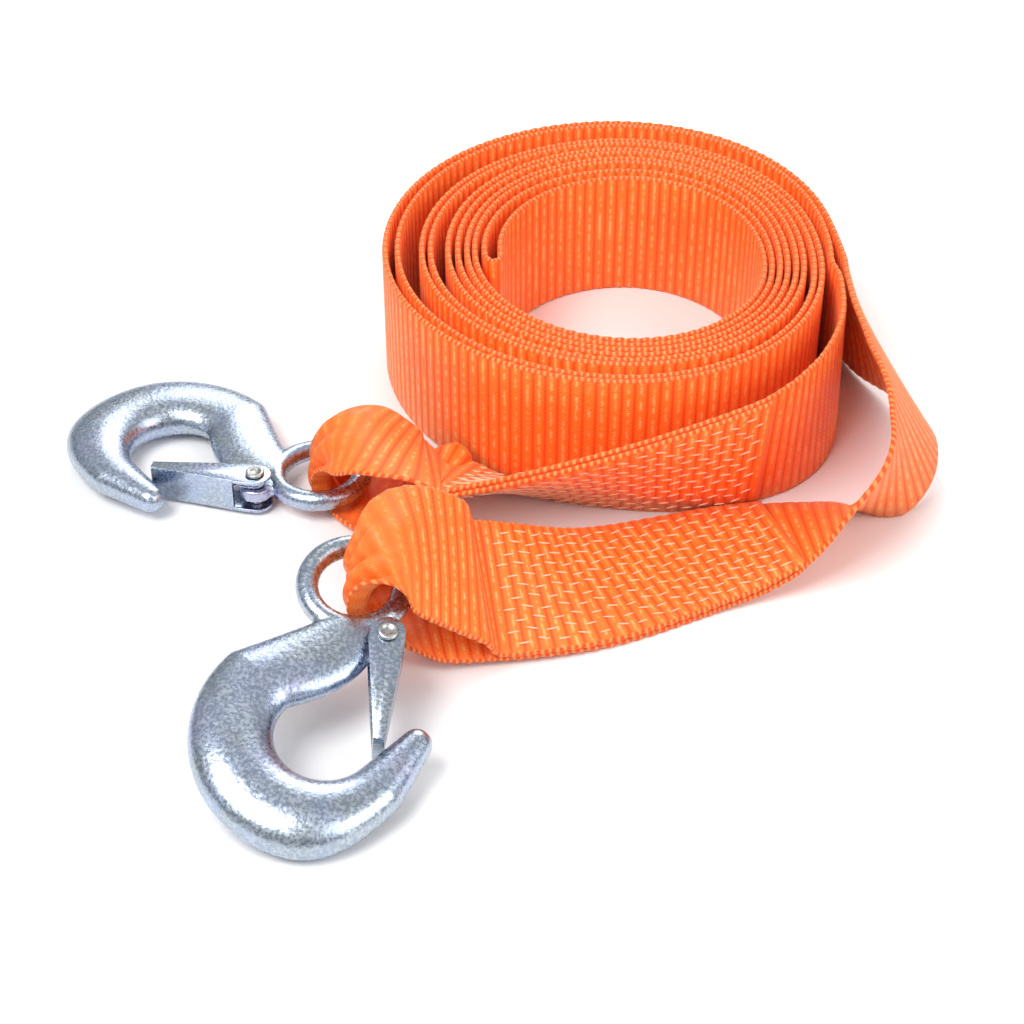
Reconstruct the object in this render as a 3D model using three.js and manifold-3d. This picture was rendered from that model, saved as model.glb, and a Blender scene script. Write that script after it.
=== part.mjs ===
// Cargo strap: one long webbing folded double and rolled into a coil that stands
// on its edge, with a sewn loop at each end that holds a forged hook.
// Millimetres, +Z up. The origin is on the floor, under the middle of the whole.
// Routes are written from the middle of the coil and shifted at the end.
import * as THREE from 'three';
import { mergeVertices } from 'three/addons/utils/BufferGeometryUtils.js';
import Module from 'manifold-3d';

const wasm = await Module();
wasm.setup();

// Webbing
const webbingWidth = 50;
const webbingThickness = 2.2;
const layerGap = 0.5;            // between two layers that lie together
const coilSize = 1;              // 1 gives the coil's real radii below
const coilStepDegrees = 9;
const sewnOverlap = 0.35;        // the tail is pressed and sewn onto the strap
const sewingRelease = 4;         // straight length of both layers past the sewing
const loopNarrowWidth = 19;      // where the loop is gathered in the eye
const loopNarrowThickness = 3.8;

// Hook, in its own plane: x runs from the eye to the bowl, y towards the point
const eyeRadius = 14.8;
const eyeBarRadius = 3.6;
const bowlDistance = 53.5;       // eye centre to bowl centre
const bowlOffset = -6.5;
const bowlRadius = 15;
const bodyWidth = 25;
const bodyThickness = 16;
const shankThickness = 12;
const pointTurn = 45;            // where the bowl goes over into the point
const neckOuterOffset = -12.5;
const neckInnerOffset = 9;
const neckFillet = 16;
const neckTurn = 222;            // and where it goes over into the neck
const taperToPoint = 105;        // where the bowl starts to narrow each way
const taperToNeck = 150;
const pointRootWidth = 16.5;
const pointRootThickness = 12;
const pointLength = 23;
const pointWidth = 9.5;
const pointThickness = 9;
const pivotDistance = 20;
const pivotOffset = 10.5;
const lugRadius = 5.6;
const lugThickness = 4.4;

// Safety latch, its pin and its spring
const latchLength = 36.6;        // pin to tip
const latchHeadRadius = 5.4;
const latchTipHeight = 3.2;
const latchInside = 10.4;        // between the two cheeks
const latchSheet = 1.2;
const pinDiameter = 4;
const pinClearance = 0.3;
const pinHeadDiameter = 6.6;
const pinHeadHeight = 1;
const springWire = 0.9;
const springTurns = 1.5;
const latchLean = 3.6;           // degrees, closed against the point
const springRadius = 3.1;
const springLatchLeg = 11;       // reach of the leg along the latch
const springNeckLeg = 6.5;

const orange = new THREE.Color(0xf26a1c);
const zinc = new THREE.Color(0xb9c2ca);

function solidOf(geometry) {
  const bare = geometry.clone();
  bare.deleteAttribute('normal');
  bare.deleteAttribute('uv');
  const merged = mergeVertices(bare, 1e-4);
  return new wasm.Manifold(new wasm.Mesh({
    numProp: 3,
    vertProperties: new Float32Array(merged.attributes.position.array),
    triVerts: new Uint32Array(merged.index.array),
  }));
}

function geometryOf(solid) {
  const mesh = solid.getMesh();
  const geometry = new THREE.BufferGeometry();
  geometry.setAttribute('position', new THREE.BufferAttribute(mesh.vertProperties, 3));
  geometry.setIndex(new THREE.BufferAttribute(mesh.triVerts, 1));
  geometry.computeVertexNormals();
  return geometry;
}

function uniteAll(geometries) {
  let result = solidOf(geometries[0]);
  for (const geometry of geometries.slice(1)) {
    result = result.add(solidOf(geometry));
  }
  return result;
}

// A box with one slice per station, bent so that slice i lies across station i.
// A station has a centre, a direction across (towards the top edge), a width and
// a thickness.
function framesAlong(stations) {
  return stations.map((station, i) => {
    const before = stations[Math.max(i - 1, 0)].centre;
    const after = stations[Math.min(i + 1, stations.length - 1)].centre;
    const along = after.clone().sub(before).normalize();
    const across = station.across.clone();
    across.addScaledVector(along, -across.dot(along)).normalize();
    return liftOffFloor({ ...station, across, along, normal: along.clone().cross(across) });
  });
}

// A station whose lower corner would reach below the floor is raised to it
function liftOffFloor(frame) {
  const edge = Math.abs(frame.across.z) * frame.width / 2;
  const face = Math.abs(frame.normal.z) * frame.thickness / 2;
  const lowest = frame.centre.z - edge - face;
  const lift = Math.max(-lowest, 0);
  return { ...frame, centre: frame.centre.clone().add(new THREE.Vector3(0, 0, lift)) };
}

function ribbon(frames) {
  const slices = frames.length - 1;
  const geometry = new THREE.BoxGeometry(1, 1, 1, slices, 1, 1);
  const position = geometry.attributes.position;
  const point = new THREE.Vector3();
  for (let i = 0; i < position.count; i += 1) {
    const frame = frames[Math.round((position.getX(i) + 0.5) * slices)];
    point.copy(frame.centre);
    point.addScaledVector(frame.across, position.getY(i) * frame.width);
    point.addScaledVector(frame.normal, position.getZ(i) * frame.thickness);
    position.setXYZ(i, point.x, point.y, point.z);
  }
  return geometry;
}

// Splits each four-cornered cell of a ribbon along its other diagonal, so that a
// tail lies on the twisted strap beneath it without pockets between them.
function otherDiagonals(geometry) {
  const index = geometry.index;
  for (let i = 0; i < index.count; i += 6) {
    const [a, b, d, , c] = [0, 1, 2, 3, 4].map((k) => index.getX(i + k));
    [a, b, c, a, c, d].forEach((vertex, k) => index.setX(i + k, vertex));
  }
  return geometry;
}

function mix(a, b, t) {
  return a + (b - a) * t;
}

function smooth(a, b, x) {
  const t = Math.min(Math.max((x - a) / (b - a), 0), 1);
  return t * t * (3 - 2 * t);
}

// Radius of the doubled strap's middle, and half the distance between its two
// layers, at every quarter turn from the inner fold. The turn runs clockwise
// seen from above and starts at the left.
const quarterTurns = [
  [52.0, 2.9], [54.5, 2.9], [48.4, 1.5], [63.4, 1.4],
  [59.8, 1.4], [65.6, 1.4], [54.4, 1.4], [69.4, 1.4],
  [66.4, 1.8], [73.2, 1.4], [60.4, 1.4], [75.4, 1.4],
  [76.2, 1.6], [80.6, 1.4], [66.6, 1.4], [85.6, 1.4],
  [89.0, 2.3], [95.4, 1.4], [73.6, 1.5], [92.0, 1.5],
];

function cubic(p0, p1, p2, p3, t) {
  const a = 2 * p1;
  const b = (p2 - p0) * t;
  const c = (2 * p0 - 5 * p1 + 4 * p2 - p3) * t * t;
  const d = (3 * p1 - p0 - 3 * p2 + p3) * t * t * t;
  return (a + b + c + d) / 2;
}

function atTurn(degrees, column) {
  const quarter = degrees / 90;
  const first = Math.floor(quarter);
  const pick = (i) => quarterTurns[Math.min(Math.max(i, 0), quarterTurns.length - 1)][column];
  return cubic(pick(first - 1), pick(first), pick(first + 1), pick(first + 2), quarter - first);
}

function coilPoint(degrees, side) {
  const spread = (webbingThickness + layerGap) / 2;
  const halfGap = Math.max(atTurn(degrees, 1), spread);
  const radius = atTurn(degrees, 0) * coilSize + side * halfGap;
  const angle = Math.PI - THREE.MathUtils.degToRad(degrees);
  return new THREE.Vector3(radius * Math.cos(angle), radius * Math.sin(angle), webbingWidth / 2);
}

const up = new THREE.Vector3(0, 0, 1);

function station(centre, across, width = webbingWidth, thickness = webbingThickness) {
  return { centre, across, width, thickness };
}

// A station from its two edges, as [top edge, bottom edge]
function stationFromEdges([top, bottom]) {
  const a = new THREE.Vector3(...top);
  const b = new THREE.Vector3(...bottom);
  return station(a.clone().add(b).multiplyScalar(0.5), a.clone().sub(b).normalize());
}

const foldStart = -9;
const innerExit = 1629;          // the inner layer leaves the coil as strap A
const outerExit = 1602;          // the outer layer leaves it first, as strap B

function coilLayer(side, exit) {
  const stations = [];
  for (let degrees = foldStart; degrees <= exit; degrees += coilStepDegrees) {
    stations.push(station(coilPoint(degrees, side), up));
  }
  return stations;
}

function innerFold() {
  const a = coilPoint(foldStart, -1);
  const b = coilPoint(foldStart, 1);
  const middle = a.clone().add(b).multiplyScalar(0.5);
  const arm = a.clone().sub(middle);
  return [30, 60, 90, 120, 150].map((degrees) => {
    const turned = arm.clone().applyAxisAngle(up, -THREE.MathUtils.degToRad(degrees));
    return station(middle.clone().add(turned), up);
  });
}

// Strap A goes on round the coil, leans over and lies flat at its loop.
// Each row is the top edge and the bottom edge.
const strapA = [
  [[73.3, -17, 50], [73.5, -17, 0]],
  [[72.9, -32, 50], [73.5, -32, 0]],
  [[70.6, -47, 50], [72.0, -47, 0]],
  [[65.8, -61, 50], [68.4, -60, 0.2]],
  [[58.6, -75, 50], [62.2, -71.5, 0.3]],
  [[48.5, -88, 50], [53.0, -80.5, 0.3]],
];
const panelA = [
  [[37.0, -98, 49.5], [42.0, -86.5, 0.3]],
  [[24.0, -105, 48.7], [28.5, -89.5, 0.3]],
  [[8.0, -111.5, 46.5], [11.0, -91.5, 0.4]],
  [[-8.0, -116.5, 43.5], [-6.5, -90.5, 0.5]],
  [[-24.0, -119.5, 39.5], [-24.0, -87.5, 0.8]],
  [[-38.0, -120.5, 35], [-39.0, -84, 1.4]],
  [[-51.0, -120, 30], [-53.0, -79.5, 3]],
  [[-64.0, -119, 25], [-66.0, -73.5, 7]],
];
// Strap B leaves the coil, leans outwards and comes back flat on the floor.
const strapB = [
  [[77.4, -16, 50], [84, -7, 1.2]],
  [[78.0, -34, 50], [90.5, -18.5, 4.5]],
  [[78.6, -52, 50], [96.6, -31, 8]],
  [[79.2, -70, 50], [101, -47.5, 10.5]],
  [[79.8, -86, 49.5], [103.5, -64.5, 11]],
  [[79.4, -100, 47.5], [101.5, -79.5, 8]],
  [[77.0, -113, 43.5], [94.5, -90.5, 3]],
  [[72.6, -124, 37.5], [83, -95, 0.8]],
  [[66.4, -131.5, 29.5], [70, -93, 0.7]],
  [[58.6, -136.5, 20], [60.5, -91, 0.7]],
];
const panelB = [
  [[47.0, -140, 10], [47, -91, 0.9]],
  [[33.0, -144, 4], [30.5, -94.5, 1.2]],
  [[16.0, -151, 1.8], [8, -101.5, 1.6]],
  [[0.0, -159.5, 1.8], [-12, -111, 5]],
  [[-15.0, -166.5, 1.8], [-28, -119, 10.5]],
  [[-31.0, -171.5, 2], [-43, -124.5, 17]],
  [[-46.0, -174.5, 2.2], [-57, -128.5, 22.5]],
];

function between(rows, perStep) {
  const points = [0, 1].map((edge) => rows.map((row) => new THREE.Vector3(...row[edge])));
  const curves = points.map((list) => new THREE.CatmullRomCurve3(list));
  const count = (rows.length - 1) * perStep;
  return Array.from({ length: count + 1 }, (_, i) => {
    const [top, bottom] = curves.map((curve) => curve.getPoint(i / count).toArray());
    return stationFromEdges([top, bottom]);
  });
}

// Where each hook's eye lies, and how the hook is turned there
const placeA = {
  position: new THREE.Vector3(-111.5, -84, 0),
  rotation: new THREE.Euler(0, 0, THREE.MathUtils.degToRad(173), 'ZYX'),
};
const placeB = {
  position: new THREE.Vector3(-93, -170.5, 0),
  rotation: new THREE.Euler(
    THREE.MathUtils.degToRad(-5.5),
    THREE.MathUtils.degToRad(16.5),
    THREE.MathUtils.degToRad(-90),
    'ZYX',
  ),
};

// Section of a loop that is gathered by a given amount: 0 flat, 1 fully in the eye
function gathered(amount) {
  return {
    width: mix(webbingWidth, loopNarrowWidth, amount),
    thickness: mix(webbingThickness, loopNarrowThickness, amount),
  };
}

function loopStations(eye, rows) {
  return rows.map(([offset, across, amount]) => {
    const size = gathered(amount);
    const centre = new THREE.Vector3(...offset).add(eye);
    return station(centre, new THREE.Vector3(...across).normalize(), size.width, size.thickness);
  });
}

// Rows of a loop: place from the eye's centre, direction across, and gathering
const loopA = [
  [[36.5, -10.5, 14.2], [0.04, -0.95, 0.31], 0.02],
  [[27, -8, 17.6], [0.02, -0.98, 0.16], 0.08],
  [[18, -5, 20], [0, -1, 0.04], 0.2],
  [[9.5, -2.5, 18.6], [0, -1, 0], 0.42],
  [[3, -0.8, 13], [0, -1, 0], 0.78],
  [[0, 0, 5], [0, -1, 0], 1],
  [[0.2, 0, -1], [0, -1, 0], 1],
  [[2.2, -0.2, -4.7], [0, -1, 0], 0.97],
  [[6.5, -0.8, -6.1], [0, -1, 0], 0.86],
  [[12, -2.6, -6.3], [0, -1, 0], 0.55],
  [[19, -5, -6.4], [0, -1, 0], 0.3],
  [[29, -8, -5.2], [0.02, -1, 0.04], 0.12],
  [[38, -10, 0.6], [0.03, -0.99, 0.14], 0.03],
];
const loopB = [
  [[28, 15.5, -15.6], [0.14, -0.87, -0.45], 0.03],
  [[18, 13, -14.8], [0.1, -0.9, -0.42], 0.12],
  [[9, 9, -13], [0.06, -0.93, -0.36], 0.42],
  [[2.4, 3.6, -9], [0.02, -0.95, -0.3], 0.84],
  [[0, -0.7, -1.7], [0, -0.965, -0.26], 1],
  [[0.6, -1.6, 6], [0, -0.965, -0.25], 1],
  [[4.2, -0.8, 11.4], [0, -0.96, -0.27], 0.84],
  [[11, 2.2, 13.6], [0.02, -0.95, -0.3], 0.36],
  [[20, 6, 9.6], [0.05, -0.93, -0.36], 0.1],
  [[29, 10, 2.2], [0.1, -0.9, -0.42], 0.03],
  [[37, 14, -6.6], [0.15, -0.87, -0.45], 0.01],
];

// The sewn tail lies on the strap, pressed into it by the sewing
function tailOver(frames) {
  const shift = webbingThickness - sewnOverlap;
  return frames.map((frame) => station(
    frame.centre.clone().addScaledVector(frame.normal, shift),
    frame.across,
  ));
}

// The two layers leave the end of the sewing side by side before the loop opens
function leavingSewing(frame, direction, shift) {
  const centre = frame.centre.clone().addScaledVector(frame.along, direction * sewingRelease);
  return station(centre.addScaledVector(frame.normal, shift), frame.across);
}

function makeWebbing() {
  const endA = between(strapA, 2);
  const sewnA = between(panelA, 2);
  const endB = between(strapB, 3);
  const sewnB = between(panelB, 2);
  const main = [
    ...sewnA.slice().reverse(),
    ...endA.slice().reverse(),
    ...coilLayer(-1, innerExit).reverse(),
    ...innerFold(),
    ...coilLayer(1, outerExit),
    ...endB,
    ...sewnB,
  ];
  // strap A runs towards the coil here, so its loop and tail come before it
  const framesMain = framesAlong(main);
  const endOfA = framesMain[0];
  const endOfB = framesMain[framesMain.length - 1];
  const tailA = tailOver(framesMain.slice(0, sewnA.length)).reverse();
  const tailB = tailOver(framesMain.slice(-sewnB.length)).reverse();
  const apart = webbingThickness + layerGap;
  const toLoopA = [
    ...tailA,
    leavingSewing(endOfA, -1, apart),
    ...loopStations(placeA.position, loopA).reverse(),
    leavingSewing(endOfA, -1, 0),
  ];
  const whole = [
    ...toLoopA,
    ...main,
    leavingSewing(endOfB, 1, 0),
    ...loopStations(placeB.position, loopB),
    leavingSewing(endOfB, 1, apart),
    ...tailB,
  ];
  const frames = framesAlong(whole);
  const cutA = toLoopA.length;
  const cutB = cutA + main.length - 1;
  return geometryOf(uniteAll([
    otherDiagonals(ribbon(frames.slice(0, cutA + 1))),
    ribbon(frames.slice(cutA, cutB + 1)),
    otherDiagonals(ribbon(frames.slice(cutB))),
  ]));
}

// A tube of rounded sections: each one has a centre, a half width along its own
// direction in the hook's plane, and a half thickness along z.
function forgedSweep(sections, sides = 14) {
  const slices = sections.length - 1;
  const geometry = new THREE.CylinderGeometry(1, 1, 1, sides, slices, false);
  const position = geometry.attributes.position;
  for (let i = 0; i < position.count; i += 1) {
    const section = sections[Math.round((0.5 - position.getY(i)) * slices)];
    const out = position.getX(i) * section.halfWidth;
    const x = section.x + section.outX * out;
    const y = section.y + section.outY * out;
    position.setXYZ(i, x, y, position.getZ(i) * section.halfThickness);
  }
  return geometry;
}

function bowlSection(degrees) {
  const angle = THREE.MathUtils.degToRad(degrees);
  const outX = Math.sin(angle);
  const outY = Math.cos(angle);
  const towardsPoint = smooth(taperToPoint, pointTurn, degrees);
  const towardsNeck = smooth(taperToNeck, neckTurn, degrees);
  const width = mix(bodyWidth, pointRootWidth, towardsPoint);
  const thick = mix(bodyThickness, pointRootThickness, towardsPoint);
  const middle = bowlRadius + width / 2;
  return {
    x: bowlDistance + outX * middle,
    y: bowlOffset + outY * middle,
    outX,
    outY,
    halfWidth: width / 2,
    halfThickness: mix(thick, shankThickness, towardsNeck) / 2,
  };
}

// The point runs straight on from the bowl's inner side and ends rounded
function pointSection(root, share) {
  const narrow = Math.sqrt(Math.max(1 - Math.max(share - 0.8, 0) ** 2 * 24, 0.03));
  const width = mix(pointRootWidth, pointWidth, Math.min(share * 1.2, 1)) * narrow;
  const thick = mix(pointRootThickness, pointThickness, Math.min(share * 1.2, 1)) * narrow;
  const along = pointLength * share;
  const innerX = root.x - root.outX * root.halfWidth - root.outY * along;
  const innerY = root.y - root.outY * root.halfWidth + root.outX * along;
  const shift = mix(pointRootWidth, pointWidth, Math.min(share * 1.2, 1)) / 2;
  return {
    ...root,
    x: innerX + root.outX * shift,
    y: innerY + root.outY * shift,
    halfWidth: width / 2,
    halfThickness: thick / 2,
  };
}

// The neck runs straight on its outer side and round the lug on its inner side
function neckSection(root, t) {
  const side = (sign) => new THREE.Vector2(
    root.x + sign * root.outX * root.halfWidth,
    root.y + sign * root.outY * root.halfWidth,
  );
  const outer = side(1).lerp(new THREE.Vector2(eyeRadius, neckOuterOffset), t);
  const inner = new THREE.QuadraticBezierCurve(
    side(-1),
    new THREE.Vector2(pivotDistance + neckFillet, pivotOffset - lugRadius / 2),
    new THREE.Vector2(eyeRadius, neckInnerOffset),
  ).getPoint(t);
  const across = outer.clone().sub(inner);
  const middle = outer.clone().add(inner).multiplyScalar(0.5);
  return {
    x: middle.x,
    y: middle.y,
    outX: across.x / across.length(),
    outY: across.y / across.length(),
    halfWidth: across.length() / 2,
    halfThickness: mix(root.halfThickness, eyeBarRadius + 0.2, t),
  };
}

function makeHook() {
  const steps = 16;
  const bowl = Array.from({ length: steps + 1 }, (_, i) => (
    bowlSection(mix(pointTurn, neckTurn, i / steps))));
  const point = [1, 0.94, 0.86, 0.7, 0.45, 0.2].map((share) => pointSection(bowl[0], share));
  const last = bowl[bowl.length - 1];
  const neck = [0.2, 0.4, 0.6, 0.8, 1].map((t) => neckSection(last, t));
  const body = forgedSweep([...point, ...bowl, ...neck]);
  const eye = new THREE.TorusGeometry(eyeRadius, eyeBarRadius, 12, 32);
  const lug = new THREE.CylinderGeometry(lugRadius, lugRadius, lugThickness, 20);
  lug.rotateX(Math.PI / 2);
  lug.translate(pivotDistance, pivotOffset, 0);
  const cheekCut = new THREE.CylinderGeometry(
    latchHeadRadius + 0.6, latchHeadRadius + 0.6, bodyThickness, 20);
  cheekCut.rotateX(Math.PI / 2);
  const cutAbove = cheekCut.clone().translate(
    pivotDistance, pivotOffset, (lugThickness + bodyThickness) / 2);
  const cutBelow = cheekCut.clone().translate(
    pivotDistance, pivotOffset, -(lugThickness + bodyThickness) / 2);
  const boreRadius = pinDiameter / 2 + pinClearance;
  const bore = new THREE.CylinderGeometry(boreRadius, boreRadius, bodyThickness * 2, 16);
  bore.rotateX(Math.PI / 2);
  bore.translate(pivotDistance, pivotOffset, 0);
  return geometryOf(
    uniteAll([body, eye, lug])
      .subtract(solidOf(cutAbove))
      .subtract(solidOf(cutBelow))
      .subtract(solidOf(bore)),
  );
}

// The latch's own frame is at its pin: x along it to the tip, y as in the hook
function makeLatch() {
  const outline = new THREE.Shape();
  const head = latchHeadRadius;
  outline.absarc(0, 0, head, Math.PI * 0.5, Math.PI * 1.5, false);
  outline.lineTo(4, -head);
  outline.lineTo(latchLength, -latchTipHeight * 0.2);
  outline.lineTo(latchLength, latchTipHeight * 0.8);
  outline.lineTo(4, head);
  outline.closePath();
  const width = latchInside + 2 * latchSheet;
  const block = new THREE.ExtrudeGeometry(outline, {
    depth: width, bevelEnabled: false, curveSegments: 14,
  });
  block.translate(0, 0, -width / 2);
  // hollow between the cheeks, open towards the bowl and at the head
  const hollow = new THREE.Shape();
  hollow.moveTo(-head * 2, -head * 2);
  hollow.lineTo(latchLength - 3, -head * 2);
  hollow.lineTo(latchLength - 3, latchTipHeight * 0.8 - latchSheet);
  hollow.lineTo(head + 1.5, head - latchSheet * 1.6);
  hollow.lineTo(head + 1.5, head * 2);
  hollow.lineTo(-head * 2, head * 2);
  hollow.closePath();
  const inside = new THREE.ExtrudeGeometry(hollow, { depth: latchInside, bevelEnabled: false });
  inside.translate(0, 0, -latchInside / 2);
  const boreRadius = pinDiameter / 2 + pinClearance;
  const bore = new THREE.CylinderGeometry(boreRadius, boreRadius, width * 2, 16);
  bore.rotateX(Math.PI / 2);
  return geometryOf(solidOf(block).subtract(solidOf(inside)).subtract(solidOf(bore)));
}

function makePin() {
  const reach = latchInside / 2 + latchSheet + pinClearance;
  const profile = [
    [0, -reach - pinHeadHeight], [pinHeadDiameter / 2, -reach - pinHeadHeight],
    [pinHeadDiameter / 2, -reach], [pinDiameter / 2, -reach],
    [pinDiameter / 2, reach], [pinHeadDiameter / 2, reach],
    [pinHeadDiameter / 2, reach + pinHeadHeight], [0, reach + pinHeadHeight],
  ].map(([r, h]) => new THREE.Vector2(r, h));
  const pin = new THREE.LatheGeometry(profile, 16);
  pin.rotateX(Math.PI / 2);
  return geometryOf(solidOf(pin));
}

// Torsion spring: turns round the pin beside the lug, one leg on the latch's
// back and one leg on the hook's neck
function makeSpring() {
  const start = lugThickness / 2 + 0.3 + springWire / 2;
  const pitch = springWire + 0.12;
  const points = [];
  points.push(new THREE.Vector3(springLatchLeg, springRadius - springWire, start));
  points.push(new THREE.Vector3(springLatchLeg * 0.45, springRadius - 0.1, start));
  for (let i = 0; i <= springTurns * 12; i += 1) {
    const angle = Math.PI / 2 + (i / 12) * 2 * Math.PI;
    const rise = start + (i / 12) * pitch;
    const turn = new THREE.Vector3(
      springRadius * Math.cos(angle), springRadius * Math.sin(angle), rise);
    points.push(turn);
  }
  const end = start + springTurns * pitch;
  points.push(new THREE.Vector3(springNeckLeg, -springRadius - 0.3, end));
  const path = new THREE.CatmullRomCurve3(points);
  const section = new THREE.Shape();
  section.absarc(0, 0, springWire / 2, 0, 2 * Math.PI, false);
  return new THREE.ExtrudeGeometry(section, {
    steps: points.length * 2, extrudePath: path, bevelEnabled: false, curveSegments: 6,
  });
}

function namedMesh(name, geometry, color, roughness, metalness) {
  const material = new THREE.MeshStandardMaterial({ color, roughness, metalness });
  const mesh = new THREE.Mesh(geometry, material);
  mesh.name = name;
  return mesh;
}

// Lowers or raises a hook until its lowest point touches the floor
function restOnFloor(place, geometry) {
  const turned = geometry.clone();
  turned.applyMatrix4(new THREE.Matrix4().makeRotationFromEuler(place.rotation));
  turned.computeBoundingBox();
  place.position.setZ(-turned.boundingBox.min.z);
}

function hookSet(letter, place) {
  const group = new THREE.Group();
  group.position.copy(place.position);
  group.rotation.copy(place.rotation);
  group.add(namedMesh(`hook_${letter}`, hookGeometry, zinc, 0.35, 1));
  const atPin = new THREE.Group();
  atPin.position.set(pivotDistance, pivotOffset, 0);
  atPin.rotation.z = -THREE.MathUtils.degToRad(latchLean);
  const latch = namedMesh(`latch_${letter}`, makeLatch(), zinc, 0.3, 1);
  atPin.add(latch);
  atPin.add(namedMesh(`pin_${letter}`, makePin(), zinc, 0.3, 1));
  atPin.add(namedMesh(`spring_${letter}`, makeSpring(), zinc, 0.3, 1));
  group.add(atPin);
  return group;
}

const hookGeometry = makeHook();
restOnFloor(placeA, hookGeometry);
restOnFloor(placeB, hookGeometry);
const strap = new THREE.Group();
strap.add(namedMesh('webbing', makeWebbing(), orange, 0.6, 0));
strap.add(hookSet('a', placeA));
strap.add(hookSet('b', placeB));

// The origin is under the middle of the whole strap as it lies
const outside = new THREE.Box3().setFromObject(strap, true);
const middle = outside.getCenter(new THREE.Vector3());
strap.position.set(-middle.x, -middle.y, -outside.min.z);

export default strap;
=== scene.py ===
import math

import bmesh
import bpy
import numpy as np
from mathutils import Euler, Matrix, Vector


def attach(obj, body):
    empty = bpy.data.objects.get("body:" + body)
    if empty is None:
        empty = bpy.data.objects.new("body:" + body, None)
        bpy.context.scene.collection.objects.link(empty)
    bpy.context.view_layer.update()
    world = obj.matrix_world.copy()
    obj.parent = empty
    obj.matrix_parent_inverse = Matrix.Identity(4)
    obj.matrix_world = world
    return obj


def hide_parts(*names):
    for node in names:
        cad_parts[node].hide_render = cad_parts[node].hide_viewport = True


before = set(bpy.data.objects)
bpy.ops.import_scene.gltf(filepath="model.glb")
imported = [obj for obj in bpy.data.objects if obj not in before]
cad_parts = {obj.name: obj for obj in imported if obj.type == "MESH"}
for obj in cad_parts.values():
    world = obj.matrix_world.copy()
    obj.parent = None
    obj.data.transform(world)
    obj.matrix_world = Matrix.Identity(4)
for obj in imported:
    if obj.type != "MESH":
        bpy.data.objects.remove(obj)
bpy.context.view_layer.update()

bl_info = {
    "name": "Cargo Strap",
    "version": (1, 0, 0),
    "blender": (4, 5, 0),
    "location": "3D View > Sidebar > Cargo Strap",
    "description": "Rolled tow webbing with a forged safety hook in each end loop",
    "category": "Add Mesh",
}

MM = 0.001

# Routes are in millimetres from the middle of the coil, as in the part's source.
# The shift puts the origin under the middle of the whole strap.
COIL_MIDDLE = np.array((48.0417, 81.0348, 0.0))

LAYER_GAP = 0.5
COIL_STEP = 9.0
SEWING_RELEASE = 4.0
FOLD_START = -9.0
INNER_EXIT = 1629.0
OUTER_EXIT = 1602.0
ROUTE_THICKNESS = 2.2
SEWN_STEP = 2.12
UP = np.array((0.0, 0.0, 1.0))

# Radius of the doubled strap and half the distance between its two layers, at
# every quarter turn from the inner fold
QUARTER_TURNS = np.array((
    (52.0, 2.9), (54.5, 2.9), (48.4, 1.5), (63.4, 1.4),
    (59.8, 1.4), (65.6, 1.4), (54.4, 1.4), (69.4, 1.4),
    (66.4, 1.8), (73.2, 1.4), (60.4, 1.4), (75.4, 1.4),
    (76.2, 1.6), (80.6, 1.4), (66.6, 1.4), (85.6, 1.4),
    (89.0, 2.3), (95.4, 1.4), (73.6, 1.5), (92.0, 1.5),
))

# Rows of a strap end: top edge, bottom edge
STRAP_A = (
    ((73.3, -17, 50), (73.5, -17, 0)),
    ((72.9, -32, 50), (73.5, -32, 0)),
    ((70.6, -47, 50), (72.0, -47, 0)),
    ((65.8, -61, 50), (68.4, -60, 0.2)),
    ((58.6, -75, 50), (62.2, -71.5, 0.3)),
    ((48.5, -88, 50), (53.0, -80.5, 0.3)),
)
PANEL_A = (
    ((37.0, -98, 49.5), (42.0, -86.5, 0.3)),
    ((24.0, -105, 48.7), (28.5, -89.5, 0.3)),
    ((8.0, -111.5, 46.5), (11.0, -91.5, 0.4)),
    ((-8.0, -116.5, 43.5), (-6.5, -90.5, 0.5)),
    ((-24.0, -119.5, 39.5), (-24.0, -87.5, 0.8)),
    ((-38.0, -120.5, 35), (-39.0, -84, 1.4)),
    ((-51.0, -120, 30), (-53.0, -79.5, 3)),
    ((-64.0, -119, 25), (-66.0, -73.5, 7)),
)
STRAP_B = (
    ((77.4, -16, 50), (84, -7, 1.2)),
    ((78.0, -34, 50), (90.5, -18.5, 4.5)),
    ((78.6, -52, 50), (96.6, -31, 8)),
    ((79.2, -70, 50), (101, -47.5, 10.5)),
    ((79.8, -86, 49.5), (103.5, -64.5, 11)),
    ((79.4, -100, 47.5), (101.5, -79.5, 8)),
    ((77.0, -113, 43.5), (94.5, -90.5, 3)),
    ((72.6, -124, 37.5), (83, -95, 0.8)),
    ((66.4, -131.5, 29.5), (70, -93, 0.7)),
    ((58.6, -136.5, 20), (60.5, -91, 0.7)),
)
PANEL_B = (
    ((47.0, -140, 10), (47, -91, 0.9)),
    ((33.0, -144, 4), (30.5, -94.5, 1.2)),
    ((16.0, -151, 1.8), (8, -101.5, 1.6)),
    ((0.0, -159.5, 1.8), (-12, -111, 5)),
    ((-15.0, -166.5, 1.8), (-28, -119, 10.5)),
    ((-31.0, -171.5, 2), (-43, -124.5, 17)),
    ((-46.0, -174.5, 2.2), (-57, -128.5, 22.5)),
)

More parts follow.
